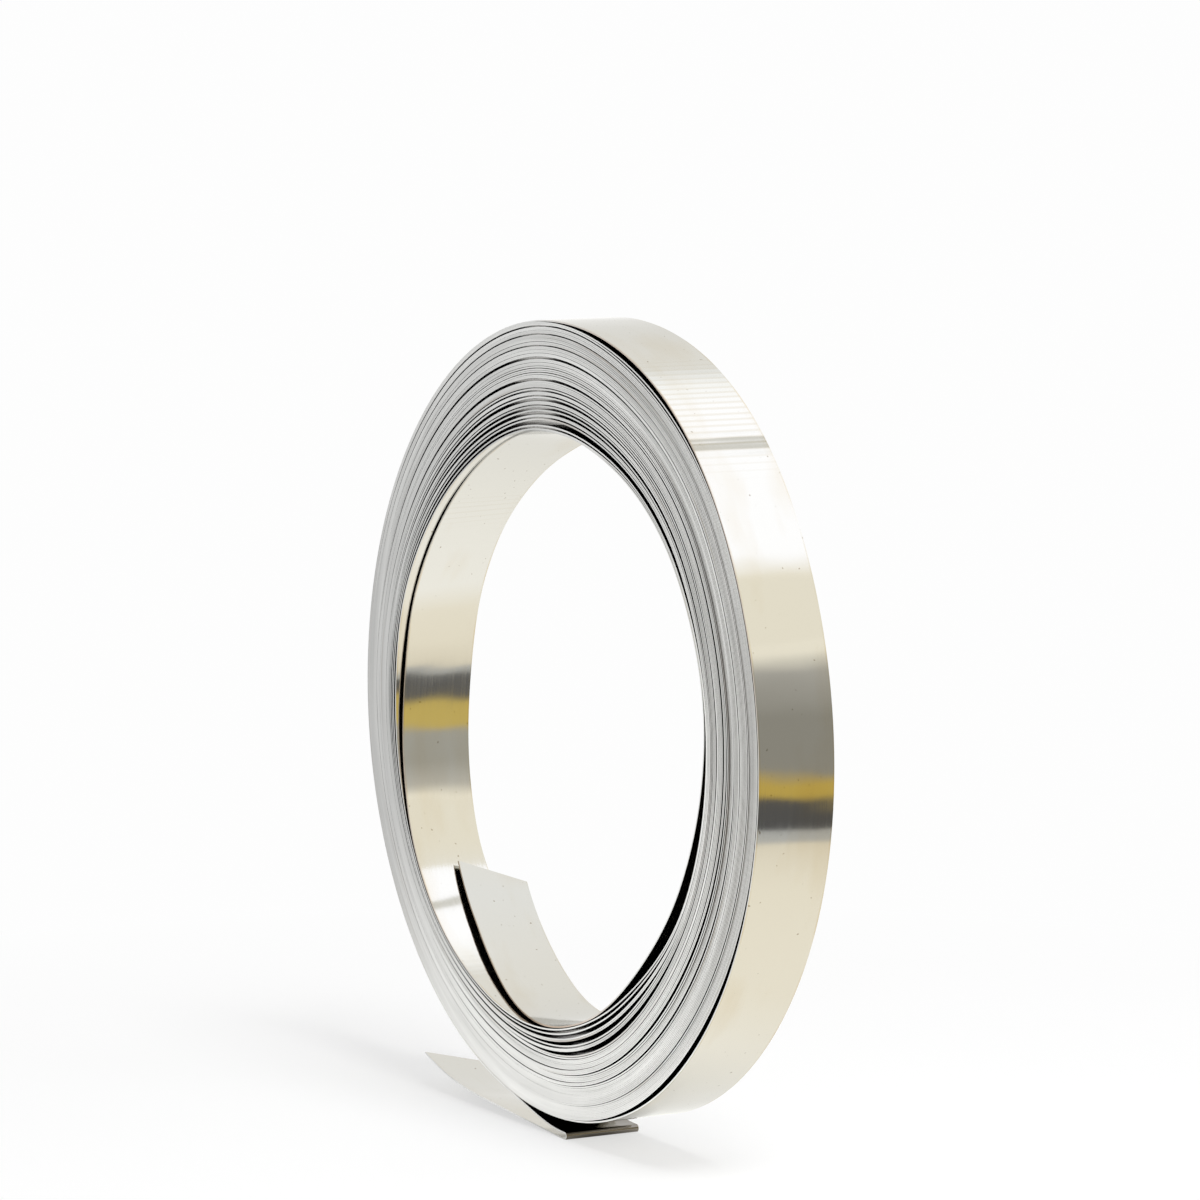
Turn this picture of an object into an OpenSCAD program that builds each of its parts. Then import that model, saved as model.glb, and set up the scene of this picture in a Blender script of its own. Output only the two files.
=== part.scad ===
// A coil of nickel strip, standing on its rim.
// The turns lie in a slightly coned pack with a round bore. At two places the inner turns have
// sprung loose and bridge the bore as flatter arcs, and the outermost turn stands off the pack.
// The inner end lies loose inside them and strays out at the back. The outer end is folded under
// and is the foot of the coil.
// X runs across the coil, Y along its axis with the front towards -Y, and Z up from the floor.

/* [Strip] */
// Width of the strip
strip_w = 8; // [4:0.5:20]
// Thickness of the strip
strip_t = 0.15; // [0.1:0.01:0.2]

/* [Pack] */
// Outside diameter of the wound coil
coil_d = 78.4; // [74:0.2:100]
// Diameter of the bore inside the tight turns
bore_d = 63; // [56:0.2:66]
// How far the innermost turns stand proud of the outermost, towards the front
cone = 1.1; // [0.2:0.1:2.5]
// Turns that lie level with each other before the next step on the ends
band_turns = 5; // [3:1:10]
// How unevenly the edges of the turns lie
edge_step = 0.07; // [0.02:0.01:0.15]

/* [Loose inner turns] */
// Turns in each loose layer
loose_turns = 2; // [1:1:3]
// Loose layers at the lower right
low_layers = 4; // [2:1:5]
// Widest gap beside a loose layer at the lower right
low_gap = 0.55; // [0.3:0.05:0.7]
// Direction of the widest gap at the lower right
low_angle = -60; // [-75:1:-45]
// Half the arc that the layers at the lower right bridge
low_span = 75; // [60:1:80]
// Loose layers at the top
top_layers = 4; // [2:1:5]
// Widest gap beside a loose layer at the top
top_gap = 0.8; // [0.3:0.05:0.9]
// Direction of the widest gap at the top
top_angle = 122; // [110:1:130]
// Half the arc that the layers at the top bridge
top_span = 68; // [55:1:75]

/* [Loose outermost turn] */
// Widest gap under the outermost turn
skin_gap = 0.6; // [0.3:0.05:1]
// Direction of the gap at the upper right
skin_high = 66; // [50:1:80]
// Direction of the gap at the lower right
skin_low = -47; // [-55:1:-40]
// Half the arc of each gap
skin_span = 26; // [18:1:30]

/* [Inner end] */
// Angle at which the inner end leaves the innermost loose layer
inner_leave = 2.5; // [2:0.5:6]
// Angle through which the inner end follows the turns
inner_sweep = 50; // [40:1:60]
// Direction in which the inner end leaves the innermost loose layer
inner_from = -85; // [-95:1:-80]
// Angle at which the inner end strays towards the back
inner_stray = 10; // [5:1:14]
// How far the cut at the inner end is out of square
inner_cut = 6; // [0:1:20]

/* [Outer end] */
// Clear height between the wound coil and the floor
stand = 1.4; // [1.2:0.1:3]
// Distance of the fold to the right of the coil's axis
fold_x = 2.9; // [2:0.1:6]
// Outside height of the fold
fold_h = 0.75; // [0.6:0.05:1]
// Distance of the end of the flat foot to the left of the coil's axis
foot_x = 16; // [12:0.5:22]
// Radius to which the tip of the foot curls up
tip_r = 21; // [15:0.5:30]
// Angle through which the tip curls up
tip_sweep = 32; // [10:1:40]
// How far the cut at the tip is out of square
tip_cut = 6; // [0:1:20]

/* [Hidden] */
$fn = 240;

coil_r = coil_d / 2;
bore_r = bore_d / 2;
axis_h = coil_r + stand;

// The pack's turns are grouped in bands that step along the axis.
bands = max(3, round((coil_r - bore_r) / (band_turns * strip_t)));
band_t = (coil_r - bore_r) / bands;
golden_angle = 137.5;

// A loose layer is a few turns thick and bites into the pack at both of its ends.
loose_t = loose_turns * strip_t;
bite = strip_t;

// The inner end is as round as the layer that it leaves, and its root is in that layer's metal.
inner_r = layer_r(low_layers, low_gap, low_span) - loose_t / 3;
inner_lead = strip_w / 8;

// The innermost turns stand farthest out at the front, and the tip of the inner end at the back.
front_at = (strip_w + cone) / 2;
tip_at = (strip_w - cone) / 2 + tan(inner_stray) * (inner_r * sin(inner_sweep) + inner_lead);
middle_at = (max(front_at, tip_at) - front_at) / 2;

// The strip leaves the pack from under the outermost turn, so that its root is in the metal.
fold_r = fold_h / 2;
fold_c = [fold_x - fold_r, fold_r - axis_h];
run_r = coil_r - 2 * strip_t;
run_angle = atan2(fold_c.y, fold_c.x) - acos((run_r + fold_r) / norm(fold_c));

function along(angle) = [cos(angle), sin(angle)];

// How far band i, counted outwards from the bore, lies towards the front.
function band_shift(i) =
    cone * (1 / 2 - i / (bands - 1))
    + (i > 0 && i < bands - 1 ? edge_step * sin(i * golden_angle) : 0);

// How far the centre of a flatter arc lies behind the circle that it bridges.
function set_back(drop, span) = drop / (1 - cos(span));

// How far the outer face of layer k drops in from the bore at its middle.
function layer_drop(k, gap) = k * gap + (k - 1) * loose_t;
function layer_centre(k, gap, angle, span) = -set_back(layer_drop(k, gap), span) * along(angle);
function layer_r(k, gap, span) =
    bore_r - layer_drop(k, gap) + set_back(layer_drop(k, gap), span);

// Stands a section that is drawn round the coil's axis upright on the floor, with the middle of
// the whole length at Y = 0.
module upright() {
    translate([0, -middle_at, axis_h])
        rotate([90, 0, 0])
            children();
}

// Gives a section the strip's width, moved towards the front.
module strip_wide(shift) {
    translate([0, 0, shift - strip_w / 2])
        linear_extrude(strip_w)
            children();
}

// A stretch of strip with outer radius r between two angles round the origin.
module bent_strip(r, from, to) {
    steps = 6;
    intersection() {
        difference() {
            circle(r);
            circle(r - strip_t);
        }
        polygon(concat(
            [[0, 0]],
            [for (i = [0:steps]) 2 * r * along(from + (to - from) * i / steps)]
        ));
    }
}

// Removes what lies beyond a place on the strip, with a cut that is out of square by skew.
module cut_off(place, heading, skew) {
    reach = 2 * strip_w;
    translate([place.x, place.y, 0])
        rotate([0, 0, heading])
            rotate([0, skew, 0])
                translate([0, -reach, -reach])
                    cube([reach, 2 * reach, 2 * reach]);
}

// The tight turns, turned as one ring whose ends step from band to band.
module pack() {
    front = [for (i = [0:bands - 1]) for (side = [0, 1])
        [bore_r + (i + side) * band_t, strip_w / 2 + band_shift(i)]];
    back = [for (i = [bands - 1:-1:0]) for (side = [1, 0])
        [bore_r + (i + side) * band_t, -strip_w / 2 + band_shift(i)]];
    rotate_extrude()
        polygon(concat(front, back));
}

// The crescent between the outermost turn and the pack, right through the width.
module skin_slot(angle) {
    under = coil_r - strip_t;
    back_by = set_back(skin_gap, skin_span);
    linear_extrude(3 * strip_w, center = true)
        difference() {
            circle(under);
            translate(-back_by * along(angle))
                circle(under - skin_gap + back_by);
        }
}

// Loose layers that bridge the bore, one inside the other.
module loose_layers(count, gap, angle, span) {
    strip_wide(cone / 2)
        intersection() {
            circle(bore_r + bite);
            for (k = [1:count])
                translate(layer_centre(k, gap, angle, span))
                    difference() {
                        circle(layer_r(k, gap, span));
                        circle(layer_r(k, gap, span) - loose_t);
                    }
        }
}

// The inner end, which carries on from the innermost layer at the lower right and strays back.
module inner_end() {
    root = layer_centre(low_layers, low_gap, low_angle, low_span) + inner_r * along(inner_from);
    root_angle = inner_from - inner_leave;
    tip_angle = root_angle - inner_sweep;
    centre = root - inner_r * along(root_angle);
    stray_from = root - inner_lead * along(root_angle - 90);
    skew = inner_stray + inner_cut;
    difference() {
        intersection() {
            linear_extrude(6 * strip_w, center = true)
                translate(centre)
                    bent_strip(inner_r, root_angle, tip_angle - skew);
            translate([stray_from.x, stray_from.y, cone / 2])
                rotate([0, 0, root_angle - 90])
                    rotate([0, inner_stray, 0])
                        cube([4 * inner_r, 4 * inner_r, strip_w * cos(inner_stray)], center = true);
        }
        translate([0, 0, -tip_at])
            cut_off(centre + inner_r * along(tip_angle), tip_angle - 90, skew);
    }
}

// The outer end: a straight run to a sharp fold, the flat foot under it, and the raised tip.
module outer_end() {
    run_start = run_r * along(run_angle);
    run_stop = fold_c - fold_r * along(run_angle);
    skin = strip_t * along(run_angle);
    tip_c = [-foot_x, tip_r - axis_h];
    tip_angle = -90 - tip_sweep;
    difference() {
        strip_wide(-cone / 2) {
            polygon([run_start, run_stop, run_stop + skin, run_start + skin]);
            translate(fold_c)
                bent_strip(fold_r, -90, run_angle + 180);
            translate([-foot_x, -axis_h])
                square([foot_x + fold_c.x, strip_t]);
            translate(tip_c)
                bent_strip(tip_r, -90, tip_angle - tip_cut);
        }
        cut_off(tip_c + tip_r * along(tip_angle), tip_angle - 90, tip_cut);
    }
}

module strip_coil() {
    color([0.80, 0.79, 0.76])
        upright() {
            difference() {
                pack();
                skin_slot(skin_high);
                skin_slot(skin_low);
            }
            loose_layers(low_layers, low_gap, low_angle, low_span);
            loose_layers(top_layers, top_gap, top_angle, top_span);
            inner_end();
            outer_end();
        }
}

strip_coil();
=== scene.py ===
import math

import bpy
import numpy as np
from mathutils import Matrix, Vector


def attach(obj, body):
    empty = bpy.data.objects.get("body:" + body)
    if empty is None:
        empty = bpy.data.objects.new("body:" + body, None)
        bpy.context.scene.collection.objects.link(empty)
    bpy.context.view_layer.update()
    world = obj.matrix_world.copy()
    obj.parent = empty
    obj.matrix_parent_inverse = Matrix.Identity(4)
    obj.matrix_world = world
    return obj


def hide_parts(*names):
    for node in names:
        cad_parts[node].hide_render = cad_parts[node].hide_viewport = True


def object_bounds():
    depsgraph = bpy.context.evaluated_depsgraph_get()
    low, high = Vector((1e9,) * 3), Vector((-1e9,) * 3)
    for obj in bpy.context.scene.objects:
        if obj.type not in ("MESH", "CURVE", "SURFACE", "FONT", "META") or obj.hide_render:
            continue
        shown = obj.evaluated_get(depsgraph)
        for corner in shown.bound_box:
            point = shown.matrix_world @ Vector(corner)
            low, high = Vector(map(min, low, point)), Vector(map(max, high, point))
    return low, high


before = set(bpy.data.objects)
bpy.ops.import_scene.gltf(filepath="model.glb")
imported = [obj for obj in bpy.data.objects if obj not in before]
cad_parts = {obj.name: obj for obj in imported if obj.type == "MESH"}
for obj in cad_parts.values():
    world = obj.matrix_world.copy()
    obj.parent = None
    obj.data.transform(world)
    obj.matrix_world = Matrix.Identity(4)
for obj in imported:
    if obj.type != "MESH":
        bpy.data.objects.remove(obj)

# A coil of bright nickel strip that stands on its folded outer end.
# Lengths are in metres and angles in degrees. A direction round the coil is measured from +X
# towards +Z, as it is seen from the front, and the strip winds outwards that way.

MM = 0.001
PIECE = "wound_strip"
NODE = "strip_coil"

# The strip and the coil, from the frame where it gives them.
cad_low, cad_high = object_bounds()
coil_r = (cad_high.x - cad_low.x) / 2
axis_h = cad_high.z - coil_r
strip_w = 8 * MM
strip_t = 0.15 * MM
cone = 1.1 * MM
pack_mid = cad_low.y + (strip_w + cone) / 2

# The winding: how many turns, how close they lie, and where the strip leaves them.
turns = 47
pitch = 0.1536 * MM
inner_tip = -142
outer_root = -102
steps_per_turn = 180

# Turns that lie level with each other, by the turn that each group starts with, and how far the
# groups and the single turns stray along the axis. Taking a share of the cone leaves room for that.
groups = [0, 1, 2, 3, 5, 7, 9, 12, 17, 21, 25, 30, 34, 38, 43, 45]
group_stray = 0.05 * MM
turn_stray = 0.006 * MM
stray_seed = 5
cone_share = 0.9

# Where the coil is out of round: direction, half arc and how far it bulges.
bulges = [
    (122, 80, -0.85 * MM),
    (-100, 50, -0.40 * MM),
    (52, 34, 0.30 * MM),
    (-20, 38, 0.20 * MM),
]

# Where turns lie loose: direction, half arc, slack shared by many turns, and the wide gaps in
# millimetres, each by the turn that it lies outside of, counted from the innermost.
slack_places = [
    (-68, 44, 0.05 * MM, {1: 0.3, 2: 0.36, 4: 0.46, 5: 0.08, 7: 0.42, 8: 0.06}),
    (-30, 46, 0.0, {0: 1.3}),
    (-38, 62, 0.05 * MM,
     {2: 0.08, 7: 0.1, 12: 0.08, 18: 0.32, 19: 0.06, 24: 0.26, 25: 0.08, 36: 0.12}),
    (-105, 46, 0.1 * MM, {1: 0.12, 2: 0.15, 5: 0.2, 9: 0.15, 15: 0.14, 22: 0.12}),
    (108, 85, 0.5 * MM,
     {0: 0.12, 1: 0.26, 2: 0.36, 3: 0.2, 5: 0.3, 6: 0.26, 7: 0.12, 9: 0.32, 10: 0.16}),
    (108, 85, 0.0,
     {12: 0.18, 13: 0.08, 17: 0.26, 20: 0.08, 22: 0.08, 27: 0.26, 33: 0.1, 39: 0.1, 43: 0.14}),
    (80, 30, 0.0, {2: 0.25}),
    (42, 40, 0.05 * MM, {2: 0.4, 6: 0.23, 11: 0.17}),
    (186, 26, 0.0, {0: 0.12, 1: 0.12, 2: 0.1, 3: 0.08, 5: 0.07}),
    (177.5, 20, 0.0, {0: 0.06, 1: 0.06, 2: 0.05, 3: 0.05, 5: 0.04}),
    (15, 85, 0.0, {10: 0.14, 16: 0.22, 29: 0.14, turns - 2: 0.1}),
    (66, 32, 0.0, {turns - 2: 0.5}),
    (58, 28, 0.0, {turns - 3: 0.2}),
    (-47, 42, 0.0, {turns - 2: 0.55}),
]
# How unevenly turns share slack, where 0 is evenly, and the seed of the draw.
slack_spread = 1.5
slack_seed = 8

# How the inner end leans from its tip on: direction, and how far its front and back edges lie
# farther in than the winding, in millimetres.
inner_lean = [
    (-142, 0.50, -1.30), (-134, 0.70, -0.84), (-126, 0.78, -0.48), (-118, 0.64, -0.30),
    (-110, 0.42, -0.15), (-98, 0.20, 0.0), (-85, 0.10, 0.0), (-72, 0.05, 0.0), (-20, 0.0, 0.0),
]
# How the loose turns at the top and on the left lean: direction, and how far the front edge of the
# innermost turn lies in and its back edge out, in millimetres. Each next turn leans a share of that.
loose_lean = [
    (70, 0.0), (84, -0.2), (100, -0.45), (112, -0.4), (134, 0.0), (148, 0.28), (165, 0.34),
    (178, 0.45), (198, 0.55), (212, 0.5), (228, 0.08), (236, 0.0),
]
lean_share = 0.72
leaning_turns = 5
# How far the innermost turn lies behind the others, by direction, in millimetres. At its end it
# strays out at the back, where it is cut out of square.
inner_set_back = [
    (-142, 4.3), (-134, 3.6), (-126, 2.92), (-118, 2.26), (-110, 1.62), (-102, 1.0), (-95, 0.5),
    (-87, 0.0), (60, 0.0), (95, 0.5), (112, 0.8), (135, 1.0), (160, 1.02), (175, 0.85),
    (185, 0.6), (197, 0.3), (210, 0.0),
]
inner_skew = 2.1 * MM

# The outer end: the run to the fold, the flat foot and the raised tip.
fold_x = 2.9 * MM
fold_h = 0.75 * MM
fold_steps = 14
foot_x = 16 * MM
tip_r = 48 * MM
tip_length = 12.2 * MM
foot_twist = 8.5
tip_twist = 15
tip_skew = 0.4 * MM
end_step = 0.5 * MM
floor_gap = 0.001 * MM
# How far from the strip's two ends their skew reaches.
skew_reach = 6 * MM

# Where the faces are painted dark as the shade under the coil, by millimetres along the strip from the
# start of the foot.
fold_painted_shade = [(-7, 0), (-4.5, 1), (-0.5, 1), (-0.2, 0)]

# How far the faces of a turn are shaded by the turns beside it, by the turn.
covered_turns = [(2.0, 0), (2.3, 1), (turns - 1.4, 1), (turns - 1.0, 0)]

# Where the slit edges are bare and brown, by direction from the inner tip on.
last_turn = 360 * (turns - 1)
bare_edges = [
    (-142, 1), (-85, 1), (-55, 0), (150, 0), (180, 0.7), (225, 0.7), (250, 0),
    (last_turn - 5, 0), (last_turn + 15, 0.7), (last_turn + 75, 0.7), (last_turn + 95, 0),
]

# Where the rolls left chatter marks across the strip: turn, direction, half arc and depth.
chatter_marks = [(turns - 1, 54, 26, 1.0), (0, 240, 13, 0.6), (0, 140, 18, 0.65)]


def place(direction, radius):
    """Points round the coil's axis, as columns of x and z."""
    angle = np.radians(direction)
    return np.stack([radius * np.cos(angle), axis_h + radius * np.sin(angle)], axis=-1)


def eased(away, half_arc):
    """1 in the middle of an arc, easing to 0 at its two ends."""
    return np.cos(np.clip(away / half_arc, 0, 1) * math.pi / 2) ** 2


def swell(direction, middle, half_arc):
    """An eased arc that every turn has at the same direction."""
    return eased(np.abs((direction - middle + 180) % 360 - 180), half_arc)


def slack_outside(shared, wide_gaps, draw):
    """The slack that lies outside each turn, counted from the innermost. Every second turn shares it."""
    weights = draw.random(turns) ** slack_spread
    weights[::2] = 0
    weights[turns - 2:] = 0
    gaps = shared * weights / weights.sum()
    for turn, gap in wide_gaps.items():
        gaps[turn] += gap * MM
    return np.cumsum(gaps[::-1])[::-1]


def winding_radius(direction, last):
    """Radius of the strip's middle plane along the winding, which ends at the direction last."""
    draw = np.random.default_rng(slack_seed)
    radius = coil_r - strip_t / 2 - (last - direction) / 360 * pitch
    for middle, half_arc, height in bulges:
        radius = radius + height * swell(direction, middle, half_arc)
    for middle, half_arc, shared, wide_gaps in slack_places:
        slack = slack_outside(shared, wide_gaps, draw)
        passing = np.floor((direction - middle + 180) / 360).astype(int).clip(0, turns - 1)
        radius = radius - slack[passing] * swell(direction, middle, half_arc)
    return radius


def run_to_fold(root, heading, fold_top):
    """The run from the coil to the top of the fold, as one curve that meets both smoothly."""
    reach = np.linalg.norm(fold_top - root)
    handle = reach / 3
    lead = root + handle * np.array([math.cos(heading), math.sin(heading)])
    land = fold_top - [handle, 0]
    done = np.linspace(0, 1, round(reach / end_step) + 1)[1:, None]
    left = 1 - done
    leaving = left ** 3 * root + 3 * done * left ** 2 * lead
    landing = 3 * done ** 2 * left * land + done ** 3 * fold_top
    return leaving + landing


def outer_run(root, heading):
    """The outer end from its root to its tip, and how many of its points come before the foot."""
    bend = (fold_h - strip_t) / 2
    fold_c = np.array([fold_x - fold_h / 2, fold_h / 2 + floor_gap])
    run = run_to_fold(root, heading, fold_c + [0, bend])
    round_fold = np.radians(np.linspace(90, -90, fold_steps + 1))[1:, None]
    fold = fold_c + bend * np.hstack([np.cos(round_fold), np.sin(round_fold)])
    flat = np.arange(fold_c[0] - end_step, -foot_x, -end_step)
    foot = np.stack([flat, np.full(len(flat), strip_t / 2 + floor_gap)], axis=-1)
    curl = -math.pi / 2 - np.linspace(0, tip_length, round(tip_length / end_step) + 1) / tip_r
    tip_c = np.array([-foot_x, tip_r + floor_gap])
    tip = tip_c + (tip_r - strip_t / 2) * np.stack([np.cos(curl), np.sin(curl)], axis=-1)
    return np.concatenate([run, fold, foot, tip]), len(run) + len(fold)


def stray(turn):
    """How far the strip strays along the axis: group by group, and a little from turn to turn."""
    draw = np.random.default_rng(stray_seed)
    of_group = draw.uniform(-1, 1, len(groups)) * group_stray
    of_turn = draw.uniform(-1, 1, turns + 1) * turn_stray
    number = np.arange(turns + 1)
    of_turn += of_group[np.searchsorted(groups, number, side="right") - 1]
    settle = np.clip(np.minimum(turn, turns - turn), 0, 1)
    return settle * np.interp(turn, number, of_turn)


def read_table(value, table):
    """What a table of two columns gives for a value, in straight lines between its rows."""
    at, given = np.array(table).T
    return np.interp(value, at, given)


def eased_table(direction, at, millimetres):
    """A length by direction, read from a table and eased at its corners."""
    reach = 4
    weights = np.hanning(2 * reach + 1)
    padded = np.pad(np.interp(direction, at, millimetres), reach, "reflect", reflect_type="odd")
    return np.convolve(padded, weights / weights.sum(), "valid") * MM


def lean_of_edges(direction, from_foot):
    """How far the front and back edges lie farther in than the strip's path, station by station."""
    lean = np.zeros((len(from_foot), 2))
    wound = lean[:len(direction)]
    at, front_in, back_in = np.array(inner_lean).T
    wound[:, 0] = eased_table(direction, at, front_in)
    wound[:, 1] = eased_table(direction, at, back_in)
    for number in range(leaning_turns):
        shared_lean = lean_share ** number * eased_table(direction - 360 * number, *zip(*loose_lean))
        wound += np.stack([shared_lean, -shared_lean], axis=-1)
    foot_length = from_foot[-1]
    ends = [0, foot_length - tip_length, foot_length]
    twist = np.interp(from_foot, ends, [0, foot_twist, tip_twist])
    lean[:, 0] -= strip_w * np.sin(np.radians(twist))
    return lean


def marks_on_strip(direction, turn, from_foot):
    """What the finishes read, station by station. The outer end has only the painted shade at the fold.
    """
    chatter = np.zeros(len(direction))
    for number, middle, half_arc, depth in chatter_marks:
        chatter += depth * eased(np.abs(direction - (middle + 360 * number)), half_arc)
    outer_end = np.zeros(len(from_foot) - len(direction))
    return {
        "chatter": np.concatenate([chatter, outer_end]),
        "fold_shade": read_table(from_foot / MM, fold_painted_shade),
        "between": np.concatenate([read_table(turn, covered_turns), outer_end]),
        "bare": np.concatenate([read_table(direction, bare_edges), outer_end]),
    }


def strip_path():
    """Stations along the strip from its inner tip: place, side, lean of its edges, length and marks."""
    last = outer_root + 360 * turns
    direction = np.linspace(inner_tip, last, round((last - inner_tip) / 360 * steps_per_turn) + 1)
    winding = place(direction, winding_radius(direction, last))
    stop = winding[-1] - winding[-2]
    outer, before_foot = outer_run(winding[-1], math.atan2(stop[1], stop[0]))
    points = np.concatenate([winding, outer])
    length = np.concatenate([[0], np.cumsum(np.linalg.norm(np.diff(points, axis=0), axis=1))])
    from_foot = length - length[len(winding) + before_foot]

    turn = (direction - inner_tip) / (last - inner_tip) * turns
    back = eased_table(direction, *zip(*inner_set_back))
    side = pack_mid + cone * cone_share * (turn / turns - 0.5) + stray(turn) + back
    side = np.concatenate([side, np.full(len(outer), side[-1])])
    lean = lean_of_edges(direction, from_foot)
    return points, side, lean, length, marks_on_strip(direction, turn, from_foot)


def wind(across):
    """Where each station of the strip lies, at the given places across its width."""
    points, side, lean, length, marks = strip_path()
    ahead = np.gradient(points, axis=0)
    ahead = ahead / np.linalg.norm(ahead, axis=1, keepdims=True)
    inwards = np.stack([-ahead[:, 1], ahead[:, 0]], axis=-1)
    # Both ends are cut out of square, so the front edge slides along the strip there.
    skew = inner_skew * np.clip(1 - length / skew_reach, 0, 1)
    skew = skew + tip_skew * np.clip(1 - (length[-1] - length) / skew_reach, 0, 1)
    # Where the strip leans it is narrower along the axis, and its back edge keeps its place.
    narrow = np.sqrt(1 - ((lean[:, 1] - lean[:, 0]) / strip_w) ** 2)
    back_edge = strip_w / 2
    rows = []
    for off_middle in across:
        share = off_middle / strip_w + 0.5
        lift = lean[:, 0] + (lean[:, 1] - lean[:, 0]) * share
        slide = skew * (share - 1)
        at = points + lift[:, None] * inwards + slide[:, None] * ahead
        along_axis = side + back_edge + (off_middle - back_edge) * narrow
        rows.append(np.stack([at[:, 0], along_axis, at[:, 1]], axis=-1))
    return np.array(rows), length, marks


def new_grid(name, cells_x=1, cells_y=1, size=1):
    """A flat grid round the origin, which alone is selected."""
    bpy.ops.object.select_all(action="DESELECT")
    bpy.ops.mesh.primitive_grid_add(x_subdivisions=cells_x, y_subdivisions=cells_y, size=size)
    grid = bpy.context.object
    grid.name = name
    return grid


def make_strip(face, edge):
    """The strip, laid flat as one long grid, wound up, and given its thickness."""
    cells_across = 2
    smooth_under = 40
    across = np.linspace(-strip_w / 2, strip_w / 2, cells_across + 1)
    places, length, marks = wind(across)
    cells_along = len(length) - 1
    strip = new_grid(PIECE, cells_along, cells_across)
    mesh = strip.data
    flat = np.empty(len(mesh.vertices) * 3)
    mesh.vertices.foreach_get("co", flat)
    flat = flat.reshape(-1, 3) + 0.5
    station = np.rint(flat[:, 0] * cells_along).astype(int)
    row = np.rint(flat[:, 1] * cells_across).astype(int)
    mesh.vertices.foreach_set("co", places[row, station].ravel())

    # The map runs along the strip in metres, with its width across.
    mesh.uv_layers[0].name = "strip"
    corner = np.empty(len(mesh.loops), dtype=int)
    mesh.loops.foreach_get("vertex_index", corner)
    along = np.stack([length[station], across[row]], axis=-1)
    mesh.uv_layers[0].uv.foreach_set("vector", along[corner].ravel())
    for name, values in marks.items():
        mark = mesh.attributes.new(name, "FLOAT", "POINT")
        mark.data.foreach_set("value", values[station])
    mesh.update()

    mesh.materials.append(face)
    mesh.materials.append(edge)
    thick = strip.modifiers.new("thickness", "SOLIDIFY")
    thick.thickness = strip_t
    thick.offset = 0
    thick.use_even_offset = True
    thick.material_offset_rim = 1
    bpy.ops.object.modifier_apply(modifier=thick.name)
    bpy.ops.object.mode_set(mode="EDIT")
    bpy.ops.mesh.select_all(action="SELECT")
    bpy.ops.mesh.normals_make_consistent(inside=False)
    bpy.ops.object.mode_set(mode="OBJECT")
    bpy.ops.object.shade_smooth_by_angle(angle=math.radians(smooth_under))
    return strip


def add_node(tree, kind, **settings):
    """A node with its attributes and, by name, its input values."""
    made = tree.nodes.new(kind)
    for key, value in settings.items():
        if hasattr(made, key):
            setattr(made, key, value)
        else:
            made.inputs[key.replace("_", " ")].default_value = value
    return made


def new_material(name):
    """A material with one shader on its surface."""
    material = bpy.data.materials.new(name)
    material.use_nodes = True
    tree = material.node_tree
    tree.nodes.clear()
    shader = tree.nodes.new("ShaderNodeBsdfPrincipled")
    output = tree.nodes.new("ShaderNodeOutputMaterial")
    tree.links.new(shader.outputs["BSDF"], output.inputs["Surface"])
    return material, tree, shader


def remap(tree, value, low, high, to_low, to_high):
    """A value moved from one range to another."""
    ranged = add_node(tree, "ShaderNodeMapRange")
    ranged.inputs["From Min"].default_value = low
    ranged.inputs["From Max"].default_value = high
    ranged.inputs["To Min"].default_value = to_low
    ranged.inputs["To Max"].default_value = to_high
    tree.links.new(value, ranged.inputs["Value"])
    return ranged.outputs["Result"]


def combine(tree, operation, first, second):
    """Two values made one, such as by adding or multiplying."""
    made = add_node(tree, "ShaderNodeMath", operation=operation)
    tree.links.new(first, made.inputs[0])
    tree.links.new(second, made.inputs[1])
    return made.outputs[0]


def blend_colours(tree, factor, first, second):
    """The first colour where the factor is 0 and the second where it is 1."""
    mix = add_node(tree, "ShaderNodeMix", data_type="RGBA")
    # A mix node keeps its sockets for colours behind those for other types.
    first_in, second_in, colour_out = mix.inputs[6], mix.inputs[7], mix.outputs[2]
    for socket, value in ((first_in, first), (second_in, second)):
        if isinstance(value, tuple):
            socket.default_value = (*value, 1)
        else:
            tree.links.new(value, socket)
    tree.links.new(factor, mix.inputs[0])
    return colour_out


def ramp_on(tree, value, low, high, stops):
    """A colour that follows a value from low to high, by stops in millimetres."""
    ramp = add_node(tree, "ShaderNodeValToRGB")
    while len(ramp.color_ramp.elements) < len(stops):
        ramp.color_ramp.elements.new(1.0)
    for element, (at, colour) in zip(ramp.color_ramp.elements, stops):
        element.position = (at * MM - low) / (high - low)
        element.color = (*colour, 1)
    tree.links.new(remap(tree, value, low, high, 0, 1), ramp.inputs["Fac"])
    return ramp.outputs["Color"]


def bump_on(tree, height, distance, below=None):
    """Relief of the given depth, laid over other relief where there is some."""
    bump = add_node(tree, "ShaderNodeBump", Strength=1.0, Distance=distance)
    tree.links.new(height, bump.inputs["Height"])
    if below is not None:
        tree.links.new(below, bump.inputs["Normal"])
    return bump.outputs["Normal"]


def attribute_on(tree, name):
    """A value that the piece's own mesh holds."""
    return add_node(tree, "ShaderNodeAttribute", attribute_name=name).outputs["Fac"]


def length_of(tree, vector):
    """How long a vector is."""
    measured = add_node(tree, "ShaderNodeVectorMath", operation="LENGTH")
    tree.links.new(vector, measured.inputs[0])
    return measured.outputs["Value"]


def stretch_and_move(tree, vector, stretch, move):
    """A vector stretched along each axis and then moved."""
    made = add_node(tree, "ShaderNodeVectorMath", operation="MULTIPLY_ADD")
    made.inputs[1].default_value = stretch
    made.inputs[2].default_value = move
    tree.links.new(vector, made.inputs[0])
    return made.outputs[0]


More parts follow.
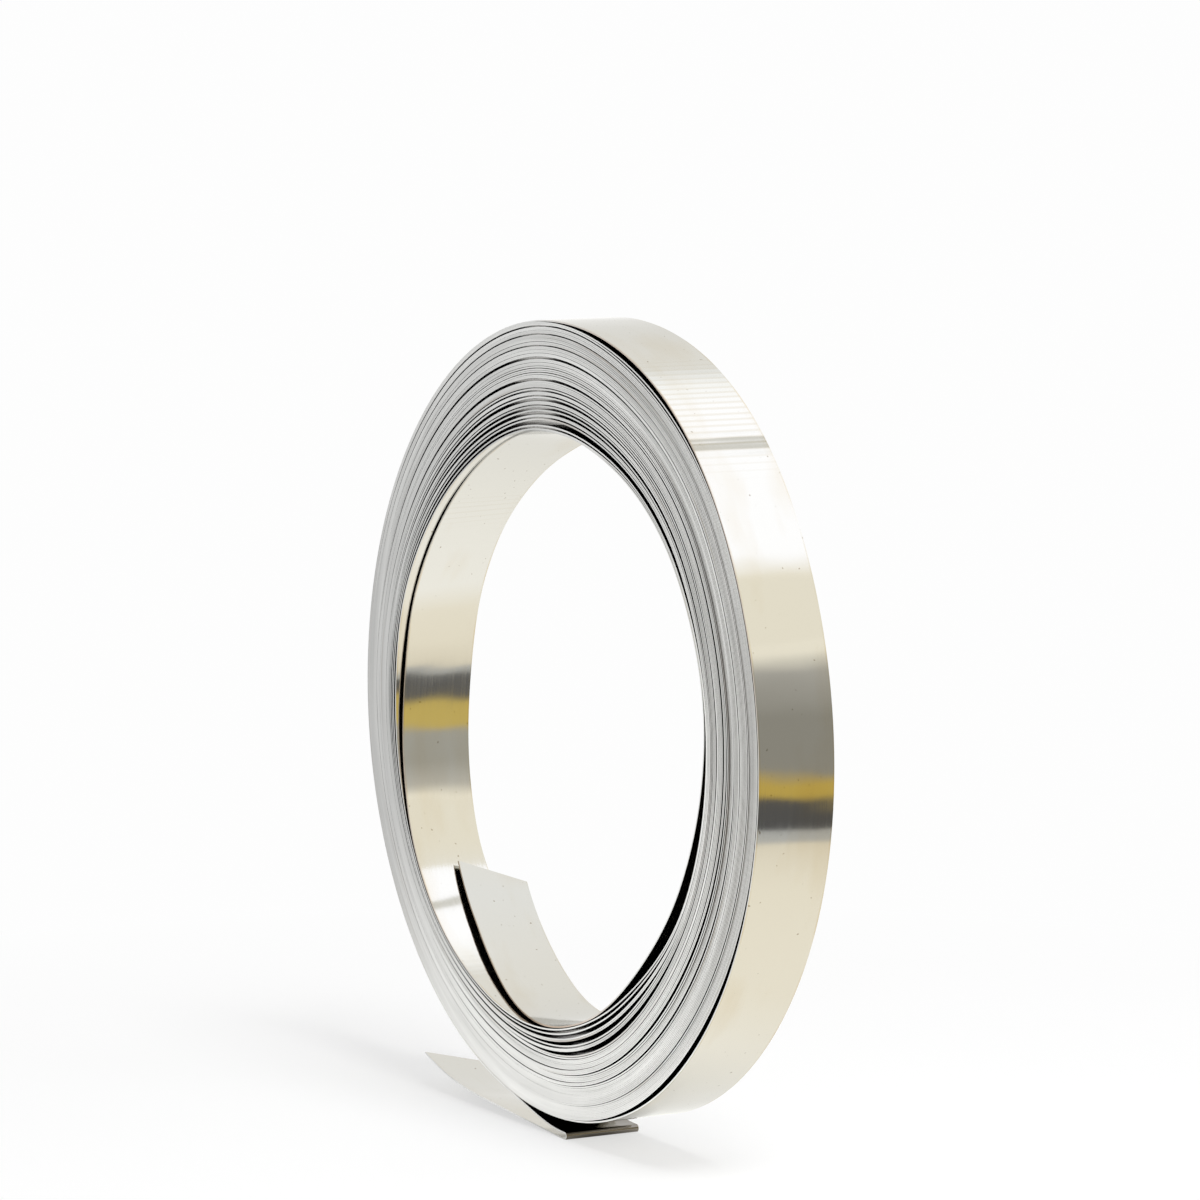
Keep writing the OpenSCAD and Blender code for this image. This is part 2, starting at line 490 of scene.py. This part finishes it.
def along_strip(tree, scale):
    """The strip's own map, stretched by a scale along and across it."""
    strip_map = add_node(tree, "ShaderNodeUVMap", uv_map="strip")
    stretch = add_node(tree, "ShaderNodeMapping")
    stretch.inputs["Scale"].default_value = (scale[0], scale[1], 1)
    tree.links.new(strip_map.outputs["UV"], stretch.inputs["Vector"])
    return stretch.outputs["Vector"]


# The range that most of a noise lies in.
noise_low = 0.3
noise_high = 0.7


def noise_on(tree, scale, detail):
    """Noise along and across the strip, by its number of waves in a metre each way."""
    noise = add_node(tree, "ShaderNodeTexNoise", Detail=detail, Scale=1.0)
    noise.noise_dimensions = "2D"
    tree.links.new(along_strip(tree, scale), noise.inputs["Vector"])
    return noise.outputs["Fac"]


def patches(tree, scale, detail, start, full, strength):
    """Patches on the strip: 0 where a noise is below a start, up to a strength where it is full."""
    return remap(tree, noise_on(tree, scale, detail), start, full, 0, strength)


def near_edges(tree, start, stop):
    """0 on the middle of the strip and 1 at its two edges."""
    across = add_node(tree, "ShaderNodeSeparateXYZ")
    tree.links.new(along_strip(tree, (1, 1)), across.inputs[0])
    out = add_node(tree, "ShaderNodeMath", operation="ABSOLUTE")
    tree.links.new(across.outputs["Y"], out.inputs[0])
    return remap(tree, out.outputs[0], start, stop, 0, 1)


def chatter_on(tree):
    """Uneven ripples across the strip, where the rolls left chatter marks."""
    wave = add_node(tree, "ShaderNodeTexWave", Scale=1.0, Distortion=3.0, Detail=1.0, Detail_Scale=0.6)
    tree.links.new(along_strip(tree, scale=(400, 25)), wave.inputs["Vector"])
    return combine(tree, "MULTIPLY", wave.outputs["Fac"], attribute_on(tree, "chatter"))


def face_colour(tree, chatter):
    """Bright nickel with faint stains, brown rims, specks, chatter, painted shade at the fold and
    painted shade between turns.
    """
    clean = (0.62, 0.607, 0.558)
    stain_brown = (0.55, 0.49, 0.37)
    rim_brown = (0.50, 0.40, 0.24)
    speck_brown = (0.22, 0.17, 0.10)
    chatter_brown = (0.50, 0.45, 0.34)
    painted_shade_grey = (0.14, 0.12, 0.10)
    shaded = (0.10, 0.09, 0.08)
    rim_start = strip_w / 2 - 0.2 * MM
    rim_full = strip_w / 2 - 0.05 * MM
    ridge_low = 0.45
    ridge_high = 0.95
    ridge_strength = 0.4
    fold_shade_strength = 0.85

    stain = patches(tree, scale=(60, 160), detail=4, start=0.54, full=0.78, strength=0.4)
    stained = blend_colours(tree, stain, clean, stain_brown)
    rim_patches = patches(tree, scale=(140, 1), detail=2, start=0.4, full=0.65, strength=0.6)
    rim = combine(tree, "MULTIPLY", near_edges(tree, rim_start, rim_full), rim_patches)
    rimmed = blend_colours(tree, rim, stained, rim_brown)
    speck = patches(tree, scale=(1700, 1700), detail=1, start=0.80, full=0.84, strength=0.6)
    specked = blend_colours(tree, speck, rimmed, speck_brown)
    ridge = remap(tree, chatter, ridge_low, ridge_high, 0, ridge_strength)
    marked = blend_colours(tree, ridge, specked, chatter_brown)
    # Painted shade: the run to the fold, under the coil, is darkened to grey.
    fold_shade_amount = remap(tree, attribute_on(tree, "fold_shade"), 0, 1, 0, fold_shade_strength)
    fold_shaded = blend_colours(tree, fold_shade_amount, marked, painted_shade_grey)
    return blend_colours(tree, attribute_on(tree, "between"), fold_shaded, shaded)


def bright_nickel():
    """The rolled face of the strip: bright, with rolling lines, chatter and slight waves."""
    grazing_tint = (0.8, 0.8, 0.8, 1)
    smoothest = 0.07
    roughest = 0.10
    ripple_depth = 0.0025 * MM
    line_depth = 0.001 * MM
    wave_depth = 0.03 * MM

    material, tree, shader = new_material("bright_nickel")
    shader.inputs["Metallic"].default_value = 1.0
    shader.inputs["Specular Tint"].default_value = grazing_tint
    chatter = chatter_on(tree)
    tree.links.new(face_colour(tree, chatter), shader.inputs["Base Color"])
    lines = noise_on(tree, scale=(8, 9000), detail=2)
    waves = noise_on(tree, scale=(220, 120), detail=1)
    rough = remap(tree, lines, noise_low, noise_high, smoothest, roughest)
    tree.links.new(rough, shader.inputs["Roughness"])
    rippled = bump_on(tree, chatter, ripple_depth)
    rolled = bump_on(tree, lines, line_depth, rippled)
    wavy = bump_on(tree, waves, wave_depth, rolled)
    tree.links.new(wavy, shader.inputs["Normal"])
    return material


def round_coil(tree, round_scale, radial_scale):
    """A place on the coil's ends: its direction and its radius, each with a scale of its own."""
    spot = add_node(tree, "ShaderNodeTexCoord")
    centred = stretch_and_move(tree, spot.outputs["Object"], (1, 0, 1), (0, 0, -axis_h))
    heading = add_node(tree, "ShaderNodeVectorMath", operation="NORMALIZE")
    tree.links.new(centred, heading.inputs[0])
    scaled = add_node(tree, "ShaderNodeVectorMath", operation="SCALE")
    scaled.inputs["Scale"].default_value = round_scale
    tree.links.new(heading.outputs[0], scaled.inputs[0])
    outwards = add_node(tree, "ShaderNodeCombineXYZ")
    tree.links.new(remap(tree, length_of(tree, centred), 0, 1, 0, radial_scale), outwards.inputs["Y"])
    both = add_node(tree, "ShaderNodeVectorMath", operation="ADD")
    tree.links.new(scaled.outputs[0], both.inputs[0])
    tree.links.new(outwards.outputs[0], both.inputs[1])
    return both.outputs[0]


def slit_edge():
    """The slit edges of the strip: duller than its faces, in soft bands of turns, cloudy round them."""
    dull_grey = (0.55, 0.55, 0.54)
    light_grey = (0.745, 0.745, 0.735)
    fine_grey = (0.78, 0.78, 0.77)
    rust_brown = (0.30, 0.24, 0.18)
    bare_brown = (0.40, 0.28, 0.18)
    bare_strength = 0.8
    smoothest = 0.34
    roughest = 0.46

    material, tree, shader = new_material("slit_edge")
    shader.inputs["Metallic"].default_value = 1.0
    bands = add_node(tree, "ShaderNodeTexNoise", Detail=2.0, Scale=1.0)
    tree.links.new(round_coil(tree, round_scale=1.6, radial_scale=900), bands.inputs["Vector"])
    shade = remap(tree, bands.outputs["Fac"], noise_low, noise_high, 0, 1)
    grey = blend_colours(tree, shade, dull_grey, light_grey)
    fine = patches(tree, scale=(30, 1), detail=3, start=noise_low, full=noise_high, strength=0.35)
    uneven = blend_colours(tree, fine, grey, fine_grey)
    rust = patches(tree, scale=(18, 1), detail=2, start=0.66, full=0.74, strength=0.5)
    rusty = blend_colours(tree, rust, uneven, rust_brown)
    bare = remap(tree, attribute_on(tree, "bare"), 0, 1, 0, bare_strength)
    tree.links.new(blend_colours(tree, bare, rusty, bare_brown), shader.inputs["Base Color"])
    grain = noise_on(tree, scale=(300, 1), detail=2)
    rough = remap(tree, grain, noise_low, noise_high, smoothest, roughest)
    tree.links.new(rough, shader.inputs["Roughness"])
    return material


# The studio: white to the camera, and in the metal cool white, warmer towards the card and a
# little dimmer towards the back.
seen_white = 0.985
cool_white = (1.19, 1.21, 1.24)
warm_white = (1.226, 1.174, 1.034)
cool_floor = (1.0, 0.995, 0.965)
warm_floor = (0.89, 0.83, 0.685)
shaded_floor = (0.81, 0.745, 0.61)
card_foot_shadow = (0.46, 0.47, 0.47)
mirrored_light = 1.28
back_tone = 0.98
back_tint = (1.02, 1.0, 0.96)
card_heading = Vector((0.867, 0.483, 0)).normalized()
back_heading = Vector((-0.867, 0.483, 0)).normalized()
shade_heading = Vector((-0.867, -0.483, 0)).normalized()
card_away = 120 * MM


def seen_or_mirrored(tree):
    """1 for what the camera or a mirror sees, and 0 for what lights the scene."""
    path = tree.nodes.new("ShaderNodeLightPath")
    either = combine(tree, "MAXIMUM", path.outputs["Is Camera Ray"], path.outputs["Is Glossy Ray"])
    return combine(tree, "MAXIMUM", either, path.outputs["Is Transmission Ray"])


def reach_along(tree, heading, spot):
    """How far a place lies along a heading."""
    dot = add_node(tree, "ShaderNodeVectorMath", operation="DOT_PRODUCT")
    dot.inputs[1].default_value = heading
    tree.links.new(spot, dot.inputs[0])
    return dot.outputs["Value"]


def towards(tree, heading, spot, near, far):
    """0 at a nearer place along a heading, and 1 at a farther one."""
    ramp = add_node(tree, "ShaderNodeMapRange", interpolation_type="SMOOTHSTEP")
    ramp.inputs["From Min"].default_value = near
    ramp.inputs["From Max"].default_value = far
    tree.links.new(reach_along(tree, heading, spot), ramp.inputs["Value"])
    return ramp.outputs["Result"]


def mix_shaders(tree, factor, first, second, surface):
    """Puts the first shader on a surface where the factor is 0 and the second where it is 1."""
    mix = tree.nodes.new("ShaderNodeMixShader")
    tree.links.new(factor, mix.inputs[0])
    tree.links.new(first, mix.inputs[1])
    tree.links.new(second, mix.inputs[2])
    tree.links.new(mix.outputs[0], surface)


def make_world(lighting):
    """White on all sides, with a strength of its own for what it lights."""
    world = bpy.data.worlds.new("studio")
    bpy.context.scene.world = world
    world.use_nodes = True
    tree = world.node_tree
    tree.nodes.clear()
    path = tree.nodes.new("ShaderNodeLightPath")
    view = tree.nodes.new("ShaderNodeTexCoord").outputs["Generated"]
    lit = add_node(tree, "ShaderNodeBackground", Strength=lighting)
    lit.inputs["Color"].default_value = (1, 1, 1, 1)
    shown = add_node(tree, "ShaderNodeBackground", Strength=1.0)
    dim_white = tuple(back_tone * tint * white for tint, white in zip(back_tint, cool_white))
    dimness = towards(tree, back_heading, view, near=0.35, far=0.75)
    dimmed = blend_colours(tree, dimness, cool_white, dim_white)
    warmth = towards(tree, card_heading, view, near=0.3, far=0.75)
    mirrored = blend_colours(tree, warmth, dimmed, warm_white)
    white = blend_colours(tree, path.outputs["Is Camera Ray"], mirrored, (seen_white,) * 3)
    tree.links.new(white, shown.inputs["Color"])
    output = tree.nodes.new("ShaderNodeOutputWorld")
    mix_shaders(tree, seen_or_mirrored(tree), lit.outputs[0], shown.outputs[0], output.inputs["Surface"])


def floor_tint(tree, spot, mirrored_ray):
    """White, and as the metal sees it: painted warm light towards the card, a painted shadow at the
    card's foot, and dimmer towards the back.
    """
    # Painted light and shade on the floor's glow: warm light beside the card, shadow near its foot.
    stops = [(14, cool_floor), (36, warm_floor), (70, warm_floor), (104, shaded_floor), (108, card_foot_shadow)]
    beside = ramp_on(tree, reach_along(tree, card_heading, spot), 0, card_away, stops)
    dim_floor = tuple(back_tone * channel for channel in cool_floor)
    dimness = towards(tree, back_heading, spot, near=5 * MM, far=60 * MM)
    dimmed = blend_colours(tree, dimness, beside, dim_floor)
    return blend_colours(tree, mirrored_ray, (1, 1, 1), dimmed)


def painted_contact_shadow(tree, spot):
    """A painted contact shadow on the floor's glow as the metal sees it: 1 on the open floor, and nearly
    0 in the narrow gap under the coil.
    """
    gap_middle = -10 * MM
    squash = 0.3
    darkest = 0.08
    dark_to = 3.5 * MM
    open_from = 7 * MM
    centred = stretch_and_move(tree, spot, (squash, 1, 0), (-gap_middle * squash, -pack_mid, 0))
    return remap(tree, length_of(tree, centred), dark_to, open_from, darkest, 1)


def make_floor():
    """A white floor that keeps the coil's shadow near it and is plain white farther out."""
    floor_size = 6
    floor_grey = 0.4
    seen_glow = 0.61
    mirrored_glow = mirrored_light - 0.33
    plain_start = 38 * MM
    plain_full = 130 * MM

    floor = new_grid("floor", size=floor_size)
    material, tree, shader = new_material("white_floor")
    surface = shader.outputs["BSDF"].links[0].to_socket
    shader.inputs["Base Color"].default_value = (floor_grey, floor_grey, floor_grey, 1)
    shader.inputs["Roughness"].default_value = 1.0
    shader.inputs["Specular IOR Level"].default_value = 0.0
    path = tree.nodes.new("ShaderNodeLightPath")
    mirrored_ray = path.outputs["Is Glossy Ray"]
    spot = tree.nodes.new("ShaderNodeTexCoord").outputs["Object"]
    tint = floor_tint(tree, spot, mirrored_ray)
    tree.links.new(tint, shader.inputs["Emission Color"])
    seen = remap(tree, path.outputs["Is Camera Ray"], 0, 1, 0, seen_glow)
    mirrored = remap(tree, mirrored_ray, 0, 1, 0, mirrored_glow)
    # Painted shadow: the floor's glow in the metal is darkened under the coil.
    mirrored = combine(tree, "MULTIPLY", mirrored, painted_contact_shadow(tree, spot))
    tree.links.new(combine(tree, "ADD", seen, mirrored), shader.inputs["Emission Strength"])

    plain = tree.nodes.new("ShaderNodeEmission")
    tree.links.new(tint, plain.inputs["Color"])
    plain_glow = remap(tree, mirrored_ray, 0, 1, seen_white, mirrored_light)
    tree.links.new(plain_glow, plain.inputs["Strength"])
    outwards = remap(tree, length_of(tree, spot), plain_start, plain_full, 0, 1)
    fade = combine(tree, "MULTIPLY", outwards, seen_or_mirrored(tree))
    mix_shaders(tree, fade, shader.outputs["BSDF"], plain.outputs[0], surface)
    floor.data.materials.append(material)


def make_soft_light(name, spot, size, energy):
    """A soft light for the coil's shadow that the metal doesn't mirror, placed in millimetres."""
    light = bpy.data.lights.new(name, "AREA")
    light.shape = "DISK"
    light.size = size * MM
    light.energy = energy
    lamp = bpy.data.objects.new(name, light)
    lamp.location = Vector(spot) * MM
    lamp.rotation_euler = lamp.location.to_track_quat("Z", "Y").to_euler()
    lamp.visible_glossy = False
    bpy.context.scene.collection.objects.link(lamp)


def own_light(name):
    """A dark material that gives light of its own, and the socket for the light's colour."""
    material, _, shader = new_material(name)
    shader.inputs["Base Color"].default_value = (0, 0, 0, 1)
    shader.inputs["Emission Strength"].default_value = 1.0
    return material, shader.inputs["Emission Color"]


def mirrored_only(piece, material):
    """Gives a piece of the studio its material and keeps it out of all but reflections."""
    piece.data.materials.append(material)
    piece.visible_camera = False
    piece.visible_diffuse = False
    piece.visible_shadow = False
    piece.visible_transmission = False


def make_ceiling():
    """The two light panels overhead with the dim bar between them, which only the metal reflects."""
    low, high = -300 * MM, 560 * MM
    near, far, height = 20 * MM, 440 * MM, 540 * MM
    soft = (1.48, 1.51, 1.58)
    bright = (1.58, 1.61, 1.74)
    dim = (0.92, 0.92, 0.90)
    stops = [
        (-290, cool_white), (-190, soft), (-100, bright), (28, bright), (34, dim), (68, dim),
        (74, bright), (450, bright), (545, warm_white),
    ]
    ceiling = new_grid("light_panels")
    for vertex in ceiling.data.vertices:
        vertex.co = (low if vertex.co.x < 0 else high, near if vertex.co.y < 0 else far, height)
    material, glow = own_light("panel_light")
    tree = material.node_tree
    spot = add_node(tree, "ShaderNodeTexCoord")
    split = add_node(tree, "ShaderNodeSeparateXYZ")
    tree.links.new(spot.outputs["Object"], split.inputs[0])
    tree.links.new(ramp_on(tree, split.outputs["X"], low, high, stops), glow)
    mirrored_only(ceiling, material)


def card_stops(dark, dark_top, yellow, yellow_foot, yellow_top, grey, grey_foot, pale_grey):
    """The card's bands from its foot up: dark, yellow, grey, pale grey and the warm white above."""
    grey_top = 54
    pale_at = 75
    white_from = 84
    return [
        (0, dark), (dark_top, dark), (yellow_foot, yellow), (yellow_top, yellow),
        (grey_foot, grey), (grey_top, grey), (pale_at, pale_grey), (white_from, warm_white),
    ]


def make_card():
    """A banded card beside the coil that only the metal reflects."""
    card_h = 88 * MM
    # Across the card in millimetres: place, how far the bands lie lower there, and 1 where the
    # inner side of the coil sees it.
    card_across = [(-120, -3.2, 0), (-29, -3.2, 0), (-13, 3.2, 0), (-5, 0, 1), (120, 0, 1)]
    for_outside = card_stops(
        dark=(0.09, 0.09, 0.095), dark_top=15.5,
        yellow=(0.70, 0.50, 0.09), yellow_foot=19, yellow_top=24.5,
        grey=(0.345, 0.335, 0.30), grey_foot=30.5,
        pale_grey=(0.52, 0.51, 0.48),
    )
    for_inside = card_stops(
        dark=(0.12, 0.12, 0.125), dark_top=9.5,
        yellow=(0.76, 0.58, 0.15), yellow_foot=13, yellow_top=27,
        grey=(0.49, 0.485, 0.445), grey_foot=33,
        pale_grey=(0.66, 0.65, 0.61),
    )
    columns = len(card_across) - 1
    card = new_grid("reflected_card", cells_x=columns)
    sideways = Vector((-card_heading.y, card_heading.x, 0))
    bands = card.data.attributes.new("band_height", "FLOAT", "POINT")
    sides = card.data.attributes.new("inner_side", "FLOAT", "POINT")
    for vertex in card.data.vertices:
        across, lower, inner = card_across[round((vertex.co.x + 0.5) * columns)]
        up = (vertex.co.y + 0.5) * card_h
        vertex.co = card_heading * card_away + sideways * (across * MM) + Vector((0, 0, up))
        bands.data[vertex.index].value = up + lower * MM
        sides.data[vertex.index].value = inner
    material, glow = own_light("card_bands")
    tree = material.node_tree
    height = attribute_on(tree, "band_height")
    outside = ramp_on(tree, height, 0, card_h, for_outside)
    inside = ramp_on(tree, height, 0, card_h, for_inside)
    tree.links.new(blend_colours(tree, attribute_on(tree, "inner_side"), outside, inside), glow)
    mirrored_only(card, material)


def make_shade():
    """A grey card in front on the left that dulls the left of the coil's end."""
    shade_away = 80 * MM
    left_of_axis = -35 * MM
    half_w = 26 * MM
    shade_h = 90 * MM
    shade_grey = 0.7
    sideways = Vector((-shade_heading.y, shade_heading.x, 0))
    foot = Vector((left_of_axis, pack_mid, 0)) + shade_heading * shade_away
    shade = new_grid("reflected_shade")
    for vertex in shade.data.vertices:
        across, up = 2 * vertex.co.x * half_w, (vertex.co.y + 0.5) * shade_h
        vertex.co = foot + sideways * across + Vector((0, 0, up))
    material, glow = own_light("grey_card")
    glow.default_value = (shade_grey, shade_grey, shade_grey, 1)
    mirrored_only(shade, material)


def make_camera():
    """The camera of the photograph, fitted to the rims of the coil."""
    azimuth = math.radians(60.88)
    elevation = math.radians(6.83)
    distance = 600 * MM
    right_of_axis = 2.25 * MM
    above_axis = 11.67 * MM
    target = Vector((right_of_axis, pack_mid + cone / 2, axis_h + above_axis))
    back = Vector((
        math.sin(azimuth) * math.cos(elevation),
        -math.cos(azimuth) * math.cos(elevation),
        math.sin(elevation),
    ))
    lens = bpy.data.cameras.new("camera")
    lens.sensor_width = 36
    lens.lens = 187.5
    lens.clip_start = 0.01
    camera = bpy.data.objects.new("camera", lens)
    camera.location = target + back * distance
    camera.rotation_euler = back.to_track_quat("Z", "Y").to_euler()
    bpy.context.scene.collection.objects.link(camera)
    bpy.context.scene.camera = camera


make_camera()
strip = make_strip(bright_nickel(), slit_edge())
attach(strip, "root")
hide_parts(NODE)

make_floor()
make_world(lighting=0.42)
make_soft_light("light_behind", spot=(430, 270, 460), size=600, energy=0.8)
make_soft_light("light_beside", spot=(350, -20, 540), size=220, energy=2.4)
make_ceiling()
make_card()
make_shade()
bpy.context.scene.view_settings.view_transform = "Standard"
